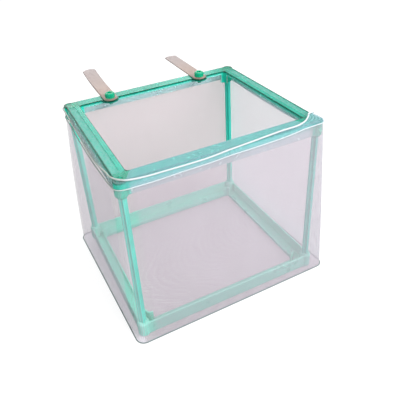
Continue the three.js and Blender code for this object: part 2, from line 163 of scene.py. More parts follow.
@dataclass(frozen=True)
class Grid:
    """Points on a grid, ready to become a mesh.

    The cloth chart has one more column than the points where the grid closes across, and one
    more row where it closes up, so that the weave runs on over the join. A capped grid has one
    face over its last row. Slack holds a share for each column: one where the cloth is loose
    and nothing where it is pulled tight.
    """

    points: np.ndarray
    cloth: np.ndarray
    closes_across: bool = True
    closes_up: bool = False
    capped: bool = False
    slack: np.ndarray | None = None

    def to_object(self, name: str) -> bpy.types.Object:
        """Makes the mesh object: four-cornered faces, smooth, with a map of cloth distances.

        The map, named cloth, holds millimetres along and across the cloth, so a weave
        keeps its size wherever the cloth runs.

        Args:
            name: The piece's name.

        Returns:
            The new object, linked to the scene and standing at the origin.
        """
        rows, columns = self.points.shape[:2]
        row_count = rows if self.closes_up else rows - 1
        column_count = columns if self.closes_across else columns - 1
        row, column = np.meshgrid(np.arange(row_count), np.arange(column_count), indexing="ij")
        steps = ((0, 0), (0, 1), (1, 1), (1, 0))
        corners = [
            ((row + up) % rows) * columns + (column + across) % columns for up, across in steps
        ]
        faces = np.stack(corners, axis=-1).reshape(-1, len(steps)).tolist()
        chart = np.stack([self.cloth[row + up, column + across] for up, across in steps], axis=-2)
        chart = chart.reshape(-1, 2)
        if self.capped:
            faces.append(list(range((rows - 1) * columns, rows * columns)))
            chart = np.concatenate([chart, self.cloth[-1, :columns]])
        mesh = bpy.data.meshes.new(name)
        mesh.from_pydata((self.points.reshape(-1, 3) * METRES).tolist(), [], faces)
        layer = mesh.uv_layers.new(name="cloth")
        layer.data.foreach_set("uv", chart.reshape(-1).astype(np.float32))
        loose = np.ones(columns) if self.slack is None else self.slack
        values = np.broadcast_to(loose, (rows, columns)).reshape(-1).astype(np.float32)
        mesh.attributes.new("slack", "FLOAT", "POINT").data.foreach_set("value", values)
        mesh.polygons.foreach_set("use_smooth", np.ones(len(faces), dtype=bool))
        mesh.update()
        made = bpy.data.objects.new(name, mesh)
        bpy.context.scene.collection.objects.link(made)
        return made

    def area(self) -> float:
        """Area of the grid: half the cross product of each face's diagonals.

        Returns:
            The area in square metres, without the cap's.
        """
        points = self.points * METRES
        if self.closes_across:
            points = np.concatenate([points, points[:, :1]], axis=1)
        if self.closes_up:
            points = np.concatenate([points, points[:1]], axis=0)
        first = points[1:, 1:] - points[:-1, :-1]
        second = points[1:, :-1] - points[:-1, 1:]
        return float(np.linalg.norm(np.cross(first, second), axis=-1).sum() / 2.0)


def raised(place: np.ndarray, height: np.ndarray) -> np.ndarray:
    """Points in space, from places in plan and a height for each of them."""
    return np.concatenate([place, height[..., None]], axis=-1)


def chart_of(across: np.ndarray, up: np.ndarray) -> np.ndarray:
    """Cloth distances on a grid, from one list of distances across and one up."""
    return np.stack(np.meshgrid(across, up), axis=-1)


def tube(
    path: np.ndarray, radius: float, sides: int, lengths: np.ndarray, slack: np.ndarray
) -> Grid:
    """A round tube along a closed path: a circle square to the path at each point.

    Args:
        path: Points of the path, without a repeat of the first.
        radius: The tube's radius.
        sides: Corners of its section.
        lengths: Distance along the path at each point, and the whole way round as the last.
        slack: How loose the tube lies at each point, as a share.

    Returns:
        A grid that closes both ways, with the cloth chart in millimetres.
    """
    ahead = np.roll(path, -1, axis=0) - np.roll(path, 1, axis=0)
    ahead /= np.linalg.norm(ahead, axis=-1, keepdims=True)
    side = np.cross(ahead, (0.0, 0.0, 1.0))
    side /= np.linalg.norm(side, axis=-1, keepdims=True)
    upward = np.cross(side, ahead)
    angle = 2.0 * np.pi * np.arange(sides) / sides
    points = path[None] + radius * (
        np.cos(angle)[:, None, None] * side[None] + np.sin(angle)[:, None, None] * upward[None]
    )
    chart = chart_of(lengths, np.arange(sides + 1) * 2.0 * np.pi * radius / sides)
    return Grid(points, chart, closes_up=True, slack=slack)


class NodeBench:
    """Adds shader nodes to a tree in few words."""

    def __init__(self, tree: bpy.types.NodeTree) -> None:
        """Keeps the tree that the nodes go into."""
        self.tree = tree

    def add(self, kind: str, **settings: object) -> bpy.types.Node:
        """Adds a node and sets its properties.

        Args:
            kind: Blender's name of the node's type.
            **settings: Properties of the node by name.

        Returns:
            The new node.
        """
        node = self.tree.nodes.new(kind)
        for name, value in settings.items():
            setattr(node, name, value)
        return node

    def feed(self, socket: bpy.types.NodeSocket, source: object) -> None:
        """Links a source to an input socket, or sets a plain value on it.

        Args:
            socket: The input socket.
            source: Another node's socket, or a value.
        """
        if isinstance(source, bpy.types.NodeSocket):
            self.tree.links.new(source, socket)
        else:
            socket.default_value = source

    def fill(self, node: bpy.types.Node, *sources: object) -> None:
        """Feeds a node's inputs in their order."""
        for socket, source in zip(node.inputs, sources):
            self.feed(socket, source)

    def math(self, operation: str, *inputs: object) -> bpy.types.NodeSocket:
        """Does a sum on numbers.

        Args:
            operation: Blender's name of the Math operation.
            *inputs: Sockets or numbers, in the node's order.

        Returns:
            The result's socket.
        """
        node = self.add("ShaderNodeMath", operation=operation)
        self.fill(node, *inputs)
        return node.outputs[0]

    def vector(self, operation: str, *inputs: object) -> bpy.types.NodeSocket:
        """Does a sum on vectors.

        Args:
            operation: Blender's name of the Vector Math operation.
            *inputs: Sockets or vectors, in the node's order.

        Returns:
            The result's socket.
        """
        node = self.add("ShaderNodeVectorMath", operation=operation)
        self.fill(node, *inputs)
        return node.outputs[0]

    def split(self, vector: object) -> bpy.types.NodeOutputs:
        """Splits a vector.

        Args:
            vector: A vector's socket.

        Returns:
            Sockets named X, Y and Z.
        """
        node = self.add("ShaderNodeSeparateXYZ")
        self.feed(node.inputs[0], vector)
        return node.outputs

    def blend(self, share: object, low: object, high: object) -> bpy.types.NodeSocket:
        """Mixes two colours.

        Args:
            share: Nothing for the low colour, and one for the high one.
            low: A colour or its socket.
            high: A colour or its socket.

        Returns:
            The mixed colour's socket.
        """
        node = self.add("ShaderNodeMix", data_type="RGBA")
        self.feed(node.inputs[MIX_SHARE], share)
        self.feed(node.inputs[MIX_LOW], low)
        self.feed(node.inputs[MIX_HIGH], high)
        return node.outputs[MIX_RESULT]

    def spread(
        self, value: object, low: float, high: float, out: Span = (0.0, 1.0)
    ) -> bpy.types.NodeSocket:
        """Moves a value smoothly from one range to another, clamped at both ends.

        Args:
            value: The value's socket.
            low: Where the first range starts.
            high: Where it ends.
            out: Start and end of the second range.

        Returns:
            The moved value's socket.
        """
        node = self.add("ShaderNodeMapRange", interpolation_type="SMOOTHSTEP")
        self.fill(node, value, low, high, *out)
        return node.outputs["Result"]

    def fade(self, length: object, start: float, end: float) -> bpy.types.NodeSocket:
        """Zero to one as a length in metres goes from a start to an end in millimetres."""
        return self.spread(length, start * METRES, end * METRES)

    def noise(self, vector: object, scale: float, detail: float) -> bpy.types.NodeSocket:
        """A soft random value over a vector.

        Args:
            vector: Where to look it up.
            scale: How many lumps there are to a unit of the vector.
            detail: How many finer layers there are.

        Returns:
            A socket with values from 0 to 1.
        """
        node = self.add("ShaderNodeTexNoise")
        self.feed(node.inputs["Vector"], vector)
        self.feed(node.inputs["Scale"], scale)
        self.feed(node.inputs["Detail"], detail)
        return node.outputs["Fac"]

    def group(self, tree: bpy.types.NodeTree, **inputs: object) -> bpy.types.NodeOutputs:
        """Places a shader group and feeds it.

        Args:
            tree: The group.
            **inputs: Sockets or values for its inputs, by name.

        Returns:
            The group's outputs.
        """
        node = self.add("ShaderNodeGroup")
        node.node_tree = tree
        for name, source in inputs.items():
            self.feed(node.inputs[name.replace("_", " ")], source)
        return node.outputs

    def bump(self, height: object, strength: float, distance: float) -> bpy.types.NodeSocket:
        """Bends the normal by a height.

        Args:
            height: The height's socket.
            strength: How much of the bend is kept.
            distance: How high a height of one stands, in millimetres.

        Returns:
            The bent normal's socket.
        """
        node = self.add("ShaderNodeBump")
        self.feed(node.inputs["Height"], height)
        self.feed(node.inputs["Strength"], strength)
        self.feed(node.inputs["Distance"], distance * METRES)
        return node.outputs["Normal"]


class GroupMaker:
    """Starts a shader group and holds its ends."""

    def __init__(self, name: str, inputs: dict[str, str], outputs: dict[str, str]) -> None:
        """Makes the group with its sockets.

        Args:
            name: The group's name.
            inputs: Each input's name and kind: Float, Vector or Color.
            outputs: Each output's name and kind.
        """
        self.tree = bpy.data.node_groups.new(name, "ShaderNodeTree")
        for way, sockets in (("INPUT", inputs), ("OUTPUT", outputs)):
            for label, kind in sockets.items():
                self.tree.interface.new_socket(label, in_out=way, socket_type=f"NodeSocket{kind}")
        self.bench = NodeBench(self.tree)
        self.given = self.bench.add("NodeGroupInput").outputs
        self.made = self.bench.add("NodeGroupOutput").inputs

    def give(self, label: str, source: object) -> None:
        """Feeds one of the group's outputs."""
        self.bench.feed(self.made[label], source)


@dataclass(frozen=True)
class WeavePlan:
    """Fine net: how soft a thread's edge is, and the levels of a hole and of a thread."""

    edge: float = 0.4
    hole_to_thread: Span = (1.6, -1.4)


@dataclass(frozen=True)
class SkinPlan:
    """Marks in moulded plastic: the scale and detail of each noise, and what they change."""

    flow: Span = (55.0, 4.0)
    skin: Span = (1400.0, 2.0)
    rub: Span = (240.0, 5.0)
    flow_levels: Span = (0.2, 0.8)
    flow_rough: Span = (-0.05, 0.05)
    rub_levels: Span = (0.52, 0.68)
    rub_rough: Span = (0.0, 0.14)
    skin_height: float = 0.12
    flow_height: float = 0.8


@dataclass(frozen=True)
class RailPlan:
    """Where a ring's walls, edges and channels lie, for the painted light and shade in the plastic.

    A span holds the two distances between which a mask fades in, and the channel's holds where
    it starts and ends. The lip starts further from a corner than the outer wall does, by
    corner_lip.
    """

    half_width: float = 82.5
    half_depth: float = 71.5
    middle: float = 77.5
    face: float = 74.0
    plate: Span = (1.7, 2.1)
    straight: Span = (8.0, 10.0)
    lip_side: float = 8.0
    corner_lip: float = 5.0
    skirt: Span = (2.0, 8.0)
    socket: Span = (13.0, 9.0)
    outer_rim: Span = (1.15, 0.85)
    inner_rim: Span = (9.85, 10.15)
    rim_depth: Span = (1.0, 0.6)
    channel: Span = (1.1, 6.7)
    channel_corner: float = 11.0


class SurfaceEffects:
    """The shader groups that more than one finish uses."""

    def __init__(self, weave: WeavePlan, skin: SkinPlan, plan: RailPlan) -> None:
        """Builds every group once.

        Args:
            weave: The net's threads.
            skin: The marks in moulded plastic.
            plan: The places on a ring.
        """
        self.weave = weave
        self.skin = skin
        self.plan = plan
        self.net = self._net()
        self.moulding = self._moulding()
        self.rail = self._rail()
        self.yarn = self._yarn()

    def _net(self) -> bpy.types.NodeTree:
        """Fine honeycomb net: three cosines, sixty degrees apart, add up high in the holes.

        Returns:
            A group that gives the threads' mask and height.
        """
        group = GroupMaker(
            "honeycomb_net",
            {"Cloth": "Vector", "Pitch": "Float", "Cover": "Float"},
            {"Thread": "Float", "Height": "Float"},
        )
        bench = group.bench
        place = bench.split(group.given["Cloth"])
        turn = bench.math("DIVIDE", 2.0 * np.pi, group.given["Pitch"])
        across = bench.math("MULTIPLY", place["X"], turn)
        half = bench.math("MULTIPLY", across, 0.5)
        rise = bench.math("MULTIPLY", place["Y"], turn)
        slant = bench.math("MULTIPLY", rise, np.sqrt(3.0) / 2.0)
        second = bench.math("COSINE", bench.math("ADD", half, slant))
        third = bench.math("COSINE", bench.math("SUBTRACT", slant, half))
        total = bench.math("ADD", bench.math("ADD", bench.math("COSINE", across), second), third)
        level = bench.math("SUBTRACT", total, group.given["Cover"])
        group.give("Thread", bench.spread(level, self.weave.edge, -self.weave.edge))
        group.give("Height", bench.spread(total, *self.weave.hole_to_thread))
        return group.tree

    def _moulding(self) -> bpy.types.NodeTree:
        """Moulded plastic: slow flow marks, a fine skin and a few rubbed spots.

        Returns:
            A group that gives the roughness, the height and a slow tone.
        """
        group = GroupMaker(
            "moulded_skin",
            {"Place": "Vector", "Gloss": "Float"},
            {"Roughness": "Float", "Height": "Float", "Tone": "Float"},
        )
        bench, place, plan = group.bench, group.given["Place"], self.skin
        flow = bench.noise(place, *plan.flow)
        skin = bench.noise(place, *plan.skin)
        rubbed = bench.spread(bench.noise(place, *plan.rub), *plan.rub_levels, plan.rub_rough)
        streaks = bench.spread(flow, *plan.flow_levels, plan.flow_rough)
        rough = bench.math("ADD", bench.math("ADD", group.given["Gloss"], rubbed), streaks)
        slow = bench.math("MULTIPLY", flow, plan.flow_height)
        height = bench.math("MULTIPLY_ADD", skin, plan.skin_height, slow)
        group.give("Roughness", rough)
        group.give("Height", height)
        group.give("Tone", flow)
        return group.tree

    def _rail(self) -> bpy.types.NodeTree:
        """Masks over a ring: its walls, how far down them, its corners, edges and channels.

        How far a point lies in from the outline is the smaller of its distances from two sides.
        The rings lie alike above and below a middle, so height counts from there. The wall masks
        carry painted light, and the rim mask painted shade.

        Returns:
            A group that gives each mask.
        """
        labels = ("Skirt", "Drop", "Below", "Corner", "Rim", "Channel")
        group = GroupMaker("rail_masks", {"Place": "Vector"}, dict.fromkeys(labels, "Float"))
        bench, plan = group.bench, self.plan
        moved = bench.vector("SUBTRACT", group.given["Place"], (0.0, 0.0, plan.middle * METRES))
        sized = bench.vector("ABSOLUTE", moved)
        half = (plan.half_width * METRES, plan.half_depth * METRES, plan.face * METRES)
        inset = bench.split(bench.vector("SUBTRACT", half, sized))
        edge = bench.math("MINIMUM", inset["X"], inset["Y"])
        below = bench.fade(inset["Z"], *plan.plate)
        across = bench.math("MAXIMUM", inset["X"], inset["Y"])
        lip = bench.math("GREATER_THAN", edge, plan.lip_side * METRES)
        past = bench.math("MULTIPLY_ADD", lip, -plan.corner_lip * METRES, across)
        group.give("Below", below)
        group.give("Skirt", bench.math("MULTIPLY", below, bench.fade(past, *plan.straight)))
        group.give("Drop", bench.fade(inset["Z"], *plan.skirt))
        group.give("Corner", bench.fade(across, *plan.socket))
        # The rim mask: painted shade along the plate's outer and inner edges, near its face.
        outer, inner = bench.fade(edge, *plan.outer_rim), bench.fade(edge, *plan.inner_rim)
        shallow = bench.fade(inset["Z"], *plan.rim_depth)
        group.give("Rim", bench.math("MULTIPLY", bench.math("MAXIMUM", outer, inner), shallow))
        start, end = plan.channel
        past_start = bench.math("GREATER_THAN", inset["X"], start * METRES)
        before_end = bench.math("LESS_THAN", inset["X"], end * METRES)
        long = bench.math("GREATER_THAN", inset["Y"], plan.channel_corner * METRES)
        between = bench.math("MULTIPLY", past_start, before_end)
        group.give("Channel", bench.math("MULTIPLY", between, long))
        return group.tree

    def _yarn(self) -> bpy.types.NodeTree:
        """Covered elastic or sewn thread: a sine of slanting turns along the cloth map.

        Returns:
            A group that gives the yarn's height.
        """
        group = GroupMaker(
            "yarn_turns",
            {"Cloth": "Vector", "Turn": "Float", "Slant": "Float"},
            {"Height": "Float"},
        )
        bench = group.bench
        place = bench.split(group.given["Cloth"])
        slanted = bench.math("MULTIPLY_ADD", place["Y"], group.given["Slant"], place["X"])
        along = bench.math("DIVIDE", slanted, group.given["Turn"])
        wave = bench.math("SINE", bench.math("MULTIPLY", along, 2.0 * np.pi))
        group.give("Height", bench.math("MULTIPLY_ADD", wave, 0.5, 0.5))
        return group.tree


def new_material(name: str) -> tuple[bpy.types.Material, NodeBench, bpy.types.Node]:
    """Starts a node material.

    Args:
        name: The material's name.

    Returns:
        The material, a bench for its nodes, and its one shader.
    """
    material = bpy.data.materials.new(name)
    material.use_nodes = True
    return material, NodeBench(material.node_tree), material.node_tree.nodes["Principled BSDF"]


@dataclass(frozen=True)
class RingTint:
    """What sets a ring's places apart from its plain plate.

    There are colours for its frosted channels, for its corners over the sockets, for the
    sockets, and for the head and foot of the thin walls below its plate, which are painted
    light that shines through the walls. The rim share is how much of the deep colour the rims
    take, as painted shade.
    """

    frosted: Colour
    corner: Colour
    socket: Colour
    skirt_head: Colour
    skirt: Colour
    rim_shade_share: float
    corner_share: float = 0.95
    fleck: Span = (700.0, 3.0)
    fleck_levels: Span = (0.38, 0.62)
    fleck_shares: Span = (0.2, 0.95)
    frost_rough: float = 0.3


@dataclass(frozen=True)
class PlasticFinish:
    """Moulded plastic: its plain and deep colour, its shine, and how clear it is.

    Relief is the strength of its bumps and their height in millimetres. The deep colour also
    paints shade on a ring's rims.
    """

    name: str
    plain: Colour
    deep_and_rim_shade: Colour
    gloss: float
    clearness: float
    shine: float = 0.3
    ring: RingTint | None = None
    tone_levels: Span = (0.3, 0.7)
    tone_shares: Span = (0.0, 0.2)
    relief: Span = (0.2, 0.1)
    refraction: float = 1.49

    def make(self, effects: SurfaceEffects) -> bpy.types.Material:
        """Builds the material on Object coordinates.

        Args:
            effects: The shared shader groups.

        Returns:
            A material for moulded pieces. With a ring's tint it also has rail masks.
        """
        material, bench, shader = new_material(self.name)
        place = bench.add("ShaderNodeTexCoord").outputs["Object"]
        skin = bench.group(effects.moulding, Place=place, Gloss=self.gloss)
        tone = bench.spread(skin["Tone"], *self.tone_levels, self.tone_shares)
        colour, rough = bench.blend(tone, self.plain, self.deep_and_rim_shade), skin["Roughness"]
        if self.ring is not None:
            masks = bench.group(effects.rail, Place=place)
            colour = self._tint_ring(bench, masks, place, colour)
            rough = bench.math("MULTIPLY_ADD", masks["Channel"], self.ring.frost_rough, rough)
        bench.feed(shader.inputs["Base Color"], colour)
        bench.feed(shader.inputs["Roughness"], rough)
        bench.feed(shader.inputs["Normal"], bench.bump(skin["Height"], *self.relief))
        shader.inputs["Specular IOR Level"].default_value = self.shine
        shader.inputs["Transmission Weight"].default_value = self.clearness
        shader.inputs["IOR"].default_value = self.refraction
        return material

    def _tint_ring(
        self,
        bench: NodeBench,
        masks: bpy.types.NodeOutputs,
        place: bpy.types.NodeSocket,
        colour: bpy.types.NodeSocket,
    ) -> bpy.types.NodeSocket:
        """Lays a ring's colours over its plain one, from the corners to the rims: painted light on
        the thin walls and painted shade on the rims.

        Args:
            bench: The material's bench.
            masks: Outputs of the rail masks.
            place: Object coordinates.
            colour: The plain colour.

        Returns:
            The colour of the whole ring.
        """
        ring = self.ring
        cornered = bench.math("MULTIPLY", masks["Corner"], ring.corner_share)
        colour = bench.blend(cornered, colour, ring.corner)
        colour = bench.blend(masks["Below"], colour, ring.socket)
        # Painted light shining through the thin walls below the plate, paler lower down.
        wall = bench.blend(masks["Drop"], ring.skirt_head, ring.skirt)
        colour = bench.blend(masks["Skirt"], colour, wall)
        fleck = bench.noise(place, *ring.fleck)
        flecks = bench.spread(fleck, *ring.fleck_levels, ring.fleck_shares)
        colour = bench.blend(bench.math("MULTIPLY", masks["Channel"], flecks), colour, ring.frosted)
        # Painted shade along the rims of the plate.
        return bench.blend(bench.math("MULTIPLY", masks["Rim"], ring.rim_shade_share), colour, self.deep_and_rim_shade)


@dataclass(frozen=True)
class StripFinish:
    """Frosted flexible strip: pale and faintly pink, and more so near its pin.

    Fine drawing lines run lengthwise. Squeeze is how much of each axis their noise sees.
    """

    name: str
    plain: Colour
    tinted: Colour
    gloss: float
    clearness: float
    tinted_until: Span = (60.0, 130.0)
    squeeze: tuple[float, float, float] = (1.0, 0.06, 1.0)
    line: Span = (900.0, 2.0)
    line_height: float = 0.5
    relief: Span = (0.25, 0.08)
    refraction: float = 1.45

    def make(self, effects: SurfaceEffects) -> bpy.types.Material:
        """Builds the material on Object coordinates.

        Args:
            effects: The shared shader groups.

        Returns:
            A see-through frosted plastic with fine lengthwise drawing lines.
        """
        material, bench, shader = new_material(self.name)
        place = bench.add("ShaderNodeTexCoord").outputs["Object"]
        skin = bench.group(effects.moulding, Place=place, Gloss=self.gloss)
        along = bench.fade(bench.split(place)["Y"], *self.tinted_until)
        colour = bench.blend(along, self.tinted, self.plain)
        drawn = bench.noise(bench.vector("MULTIPLY", place, self.squeeze), *self.line)
        height = bench.math("MULTIPLY_ADD", drawn, self.line_height, skin["Height"])
        bench.feed(shader.inputs["Base Color"], colour)
        bench.feed(shader.inputs["Roughness"], skin["Roughness"])
        bench.feed(shader.inputs["Normal"], bench.bump(height, *self.relief))
        shader.inputs["Transmission Weight"].default_value = self.clearness
        shader.inputs["IOR"].default_value = self.refraction
        return material


@dataclass(frozen=True)
class NetFinish:
    """Fine net: the colour of its thread, its pitch, and how much of it is thread.

    The front grows lighter to the right, by the lean for each metre: painted light from the
    right, from the shade colour to the thread colour. The side colour is painted light on the
    outside of the left wall and on the inside of the right wall, and the inside colour is
    painted shade on the rest of the inside. Veil is what a hole still covers, and pulled is the
    share of its cover that the net keeps where it is pulled tight.
    """

    name: str
    thread: Colour
    shade: Colour
    inside: Colour
    side: Colour
    pitch: float
    cover: float
    veil: float
    pulled: float = 1.0
    lean: float = 5.0
    mottle: Span = (0.035, 3.0)
    front_levels: Span = (0.1, 0.9)
    side_wall: Span = (79.0, 83.0)
    relief: Span = (0.4, 0.1)
    rough: float = 0.75
    shine: float = 0.3
    sheen: float = 0.2

    def make(self, effects: SurfaceEffects) -> bpy.types.Material:
        """Builds the material on the piece's own cloth map.

        Args:
            effects: The shared shader groups.

        Returns:
            A see-through cloth: the threads are solid and the holes keep a faint veil.
        """
        material, bench, shader = new_material(self.name)
        cloth = bench.add("ShaderNodeUVMap", uv_map="cloth").outputs["UV"]
        weave = bench.group(effects.net, Cloth=cloth, Pitch=self.pitch, Cover=self.cover)
        place = bench.split(bench.add("ShaderNodeTexCoord").outputs["Object"])
        # Painted light: the front grows lighter to the right, from the shade colour to the thread
        # colour, with a slow random mottle.
        slow = bench.math("MULTIPLY_ADD", place["X"], self.lean, bench.noise(cloth, *self.mottle))
        front = bench.blend(bench.spread(slow, *self.front_levels), self.shade, self.thread)
        near, far = self.side_wall
        # Painted light on the outside of the left wall.
        outside = bench.blend(bench.fade(place["X"], -near, -far), front, self.side)
        # Painted shade on the inner faces, and painted light on the inside of the right wall.
        inner_shade_and_light = bench.blend(bench.fade(place["X"], near, far), self.inside, self.side)
        back = bench.add("ShaderNodeNewGeometry").outputs["Backfacing"]
        colour = bench.blend(back, outside, inner_shade_and_light)
        bench.feed(shader.inputs["Base Color"], colour)
        slack = bench.add("ShaderNodeAttribute", attribute_name="slack").outputs["Fac"]
        cover = bench.math("MULTIPLY_ADD", slack, 1.0 - self.pulled, self.pulled)
        alpha = bench.math("MULTIPLY_ADD", weave["Thread"], 1.0 - self.veil, self.veil)
        bench.feed(shader.inputs["Alpha"], bench.math("MULTIPLY", alpha, cover))
        bench.feed(shader.inputs["Normal"], bench.bump(weave["Height"], *self.relief))
        shader.inputs["Roughness"].default_value = self.rough
        shader.inputs["Specular IOR Level"].default_value = self.shine
        shader.inputs["Sheen Weight"].default_value = self.sheen
        return material


@dataclass(frozen=True)
class YarnFinish:
    """White yarn in turns, as on covered elastic and on a sewn roll.

    Turn is the length of a turn in millimetres, slant how far it leans, and tight the colour
    where the hem is pulled tight, along the left side: painted shade, tinted olive as the cord
    looks in its folded casing. The colour in the hollows between the turns is painted shade.
    """

    name: str
    light: Colour
    hollow_shade: Colour
    turn: float
    slant: float
    tight: Colour = paint(0.32, 0.37, 0.33)
    relief: Span = (0.6, 0.15)
    rough: float = 0.7
    sheen: float = 0.3

    def make(self, effects: SurfaceEffects) -> bpy.types.Material:
        """Builds the material on the piece's own cloth map.

        Args:
            effects: The shared shader groups.

        Returns:
            A yarn whose turns stand out, with painted shade in their hollows, and painted shade
            along the left side, where the hem is pulled tight.
        """
        material, bench, shader = new_material(self.name)
        cloth = bench.add("ShaderNodeUVMap", uv_map="cloth").outputs["UV"]
        yarn = bench.group(effects.yarn, Cloth=cloth, Turn=self.turn, Slant=self.slant)
        slack = bench.add("ShaderNodeAttribute", attribute_name="slack").outputs["Fac"]
        # Painted shade in the hollows between the turns.
        colour = bench.blend(yarn["Height"], self.hollow_shade, self.light)
        # Painted shade along the left side, where the slack attribute is nothing.
        bench.feed(shader.inputs["Base Color"], bench.blend(slack, self.tight, colour))
        bench.feed(shader.inputs["Normal"], bench.bump(yarn["Height"], *self.relief))
        shader.inputs["Roughness"].default_value = self.rough
        shader.inputs["Sheen Weight"].default_value = self.sheen
        return material


@dataclass(frozen=True)
class HemCourse:
    """Where the hem runs. Its heights are the solid bag's, and its laps are its own.

    A row of the shares is a turn, then the heights of the hem's top edge and of its foot above
    the top of the ring, as shares of the hem's height. The cord radii are those of the front
    left and the front right corner, and between the drop turns the right lap ends. A lap of
    fold_run folds the hem over fully.
    """

    width: float = 165.0
    depth: float = 143.0
    top: float = 151.5
    post_inset: float = 3.5
    bulge: float = 1.3
    height: float = 7.2
    fold: float = 1.0
    fold_run: float = 2.0
    cord_radii: Span = (9.0, 32.0)
    drop_turns: Span = (1.04, 1.1)
    shares: tuple[tuple[float, float, float], ...] = (
        (0.0, 0.16, -0.78),
        (0.03, 0.07, -0.86),
        (0.08, -0.1, -0.89),
        (0.13, -0.19, -0.91),
        (0.18, -0.21, -0.9),
        (0.3, -0.26, -0.83),
        (0.4, -0.24, -0.81),
        (0.5, -0.07, -0.7),
        (0.62, 0.08, -0.67),
        (0.76, 0.27, -0.59),
        (0.84, 0.26, -0.45),
        (0.9, 0.18, -0.3),
        (1.08, 0.12, -0.35),
        (1.095, -0.1, -0.8),
        (1.12, -0.5, -1.3),
        (1.16, -0.8, -1.8),
        (1.25, -1.0, -2.1),
        (1.4, -1.2, -2.2),
        (1.8, -1.15, -2.15),
        (2.1, -0.7, -1.7),
        (2.5, -0.65, -1.65),
        (2.9, -0.7, -1.7),
        (3.02, -0.55, -1.6),
        (3.13, -0.54, -1.6),
        (3.25, -0.83, -1.72),
        (3.4, -0.91, -1.76),
        (3.53, -1.06, -1.76),
        (3.68, -0.98, -1.6),
        (3.77, -0.66, -1.38),
        (3.85, -0.26, -1.22),
        (3.92, 0.13, -1.05),
        (3.97, 0.22, -0.84),
    )

    def loop(self) -> RoundedLoop:
        """The upper ring's outline with its corners round the posts, which the hem follows."""
        return RoundedLoop(self.width, self.depth, self.post_inset)

    def rise(self, turn: np.ndarray, column: HemEdge) -> np.ndarray:
        """Height of the hem's top edge or foot.

        A cubic joins each row to the next. Its slope at a row is that between the two beside it.

        Args:
            turn: Turns from 0 to 4.
            column: Which edge of the hem.

        Returns:
            Heights in millimetres, of the same shape as turn.
        """
        rows = np.array(self.shares)
        place = turn % CORNERS
        after = np.searchsorted(rows[:, 0], place, side="right")
        number = after[:, None] + np.arange(-2, 2)
        turns = rows[number % len(rows), 0] + CORNERS * (number // len(rows))
        heights = rows[number % len(rows), column]
        run = turns[:, 2] - turns[:, 1]
        share = (place - turns[:, 1]) / run
        slope_in = (heights[:, 2] - heights[:, 0]) / (turns[:, 2] - turns[:, 0]) * run
        slope_out = (heights[:, 3] - heights[:, 1]) / (turns[:, 3] - turns[:, 1]) * run
        bend = share * (1.0 - share) * ((1.0 - share) * slope_in - share * slope_out)
        level = heights[:, 1] + (heights[:, 2] - heights[:, 1]) * ease(share) + bend
        return self.top + self.height * level

    def lap(self, turn: np.ndarray) -> tuple[np.ndarray, np.ndarray]:
        """How far the cord lies inside the bag's outline at a front corner, and which way.

        There the cord keeps to a circle of its corner radius, and the way in is to the circle's
        middle, so that the cord never doubles back.

        Args:
            turn: Turns from 0 to 4.

        Returns:
            Distances in millimetres, and unit vectors with a last axis of x and y.
        """
        point, normal = self.loop().frame_at(turn)
        point = point + self.bulge * normal
        laps, inward = np.zeros(len(turn)), -normal
        for corner, (side, radius) in enumerate(zip((-1.0, 1.0), self.cord_radii)):
            inset = radius - self.bulge
            centre = np.array([side * (self.width / 2.0 - inset), inset - self.depth / 2.0])
            offset = centre - point
            distance = np.linalg.norm(offset, axis=-1)
            outer = (side * offset[:, 0] <= 0.0) & (offset[:, 1] >= 0.0)
            near = outer & (np.round(turn) % CORNERS == corner)
            laps = np.where(near, np.maximum(0.0, distance - radius), laps)
            inward = np.where(near[:, None], offset / distance[:, None], inward)
        start, end = self.drop_turns
        past = ease(np.clip((turn - start) / (end - start), 0.0, 1.0))
        dropped = np.where(np.round(turn) == 1.0, past, 0.0)
        return laps * (1.0 - dropped), inward


@dataclass(frozen=True)
class BagSizes:
    """Sizes of the bag, and how finely it is meshed.

    The outs and rooms are distances outward from the ring. A flare draws one corner of the
    foot outward along the front and along the side, from the front left corner on. The pulled
    turns are where the hem starts to be pulled tight, is tight, starts to slacken and is slack
    again. The margin lies in over the rail by its own size, less toward the ends of its turns
    but margin_least at least, and rises to the cord by margin_rise at most.
    """

    gap: float = 0.3
    net: float = 0.6
    tape: float = 0.8
    wall_out: float = 0.2
    foot_out: float = 1.3
    casing_out: float = 0.35
    bend_lift: float = 0.15
    socket_reach: float = 8.0
    socket_ease: float = 5.0
    pulled_turns: tuple[float, float, float, float] = (2.9, 3.1, 3.97, 4.06)
    flares: tuple[Span, ...] = ((1.1, 1.5), (10.0, 0.0), (3.8, 0.8), (6.5, 6.5))
    fold_mean: float = 0.55
    fold_swell: float = 0.8
    slow_folds: Waves = Waves(0.75, (96.0, 61.0, 150.0), (0.1, 0.45, 0.8), lean=18.0)
    quick_folds: Waves = Waves(0.2, (27.0, 17.5), (0.3, 0.65), lean=-30.0)
    floor_mean: float = 0.35
    floor_puckers: Waves = Waves(0.3, (70.0, 43.0), (0.2, 0.7), lean=0.6)
    floor_cap: float = 0.004
    upright_share: float = 0.7
    gather_mean: float = 0.3
    gather_swell: float = 0.7
    gather_at_socket: float = 0.1
    gathers: Waves = Waves(0.3, (7.3, 4.9, 11.7), (0.0, 0.4, 0.7))
    margin: float = 10.2
    margin_lift: float = 0.25
    margin_rise: float = 1.2
    margin_edge: float = 0.3
    margin_past: float = 0.1
    margin_least: float = 0.4
    margin_turns: Span = (0.03, 0.93)
    margin_taper: float = 0.06
    margin_mean: float = 0.12
    margin_ripples: Waves = Waves(0.12, (9.3, 6.1, 14.9), (0.1, 0.5, 0.8), lean=1.7)
    cord: float = 0.6
    cord_room: float = 0.7
    cord_sides: int = 12
    stitch: float = 0.42
    stitch_sides: int = 10
    seam: float = 0.45
    seam_room: float = 0.6
    seam_sides: int = 8
    columns: int = 720
    wall_rows: int = 80
    hem_rows: int = 16
    floor_rows: int = 60


